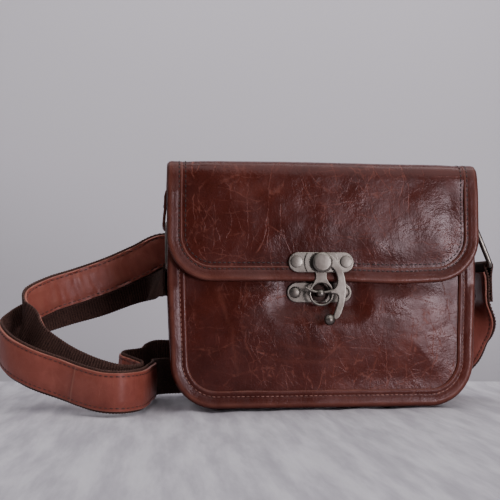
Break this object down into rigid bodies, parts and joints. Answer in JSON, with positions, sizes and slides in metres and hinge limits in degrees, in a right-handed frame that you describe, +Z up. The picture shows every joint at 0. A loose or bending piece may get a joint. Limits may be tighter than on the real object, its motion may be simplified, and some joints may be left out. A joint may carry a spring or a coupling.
{
  "type": "camera bag",
  "caption": "Small boxy leather camera bag with a wrap-over flap, a swing clasp, bound edges, side rings and a leather-faced webbing shoulder strap looped out to one side.",
  "frame": {"origin": "middle of the bag's footprint on the surface that it stands on", "axes": "+X to the right seen from the front, +Y to the back, +Z up"},
  "size_m": [0.3302, 0.1173, 0.1527],
  "materials": {
    "body_leather": "glossy, crackled pull-up leather",
    "strap_leather": "satin",
    "webbing": "ribbed polypropylene webbing, matte",
    "lining": "brushed lining cloth, matte",
    "foam": "closed-cell foam, matte",
    "antique_metal": "antique nickel, satin with dark recesses"
  },
  "bodies": {
    "bag": {"back_binding": "body_leather", "back_lining": "lining", "back_pad": "foam", "back_panel": "body_leather", "catch_plate": "antique_metal", "catch_post": "antique_metal", "catch_rivets": "antique_metal", "facing_back_run": "strap_leather", "facing_folds": "strap_leather", "facing_inner_far": "strap_leather", "facing_inner_near": "strap_leather", "facing_outer_far": "strap_leather", "facing_outer_near": "strap_leather", "facing_right_run": "strap_leather", "front_binding": "body_leather", "front_lining": "lining", "front_pad": "foam", "front_panel": "body_leather", "gusset": "body_leather", "left_tab": "body_leather", "right_tab": "body_leather", "side_lining": "lining", "side_pad": "foam", "webbing_back_fold": "webbing", "webbing_back_run": "webbing", "webbing_folds": "webbing", "webbing_inner_far": "webbing", "webbing_inner_near": "webbing", "webbing_left_fold": "webbing", "webbing_outer_far": "webbing", "webbing_outer_near": "webbing", "webbing_right_run": "webbing"},
    "flap": {"flap_leather": "body_leather", "flap_lining": "lining", "flap_binding": "body_leather", "hasp_plate": "antique_metal", "hasp_rivets": "antique_metal", "pivot_pin": "antique_metal"},
    "hook": {"swing_hook": "antique_metal"},
    "left_ring_body": {"left_ring": "antique_metal", "left_strap_end": "webbing"},
    "right_ring_body": {"right_ring": "antique_metal", "right_strap_end": "webbing", "right_end_facing": "strap_leather"},
    "divider_body": {"divider": "lining"}
  },
  "joints": [
    {"name": "flap_hinge", "type": "hinge", "parent": "bag", "child": "flap", "pos_m": [0, 0.0336, 0.15], "axis": [-1, 0, 0], "range_deg": [0, 110]},
    {"name": "hook_swing", "type": "hinge", "parent": "flap", "child": "hook", "pos_m": [-0.0034, -0.0451, 0.0896], "axis": [0, -1, 0], "range_deg": [0, 75]},
    {"name": "left_ring_swing", "type": "hinge", "parent": "bag", "child": "left_ring_body", "pos_m": [-0.097, 0, 0.115], "axis": [0, 1, 0], "range_deg": [0, 40]},
    {"name": "right_ring_swing", "type": "hinge", "parent": "bag", "child": "right_ring_body", "pos_m": [0.1052, 0, 0.115], "axis": [0, -1, 0], "range_deg": [-18, 35]},
    {"name": "divider_slide", "type": "slide", "parent": "bag", "child": "divider_body", "axis": [1, 0, 0], "range_m": [-0.03, 0.03]}
  ]
}
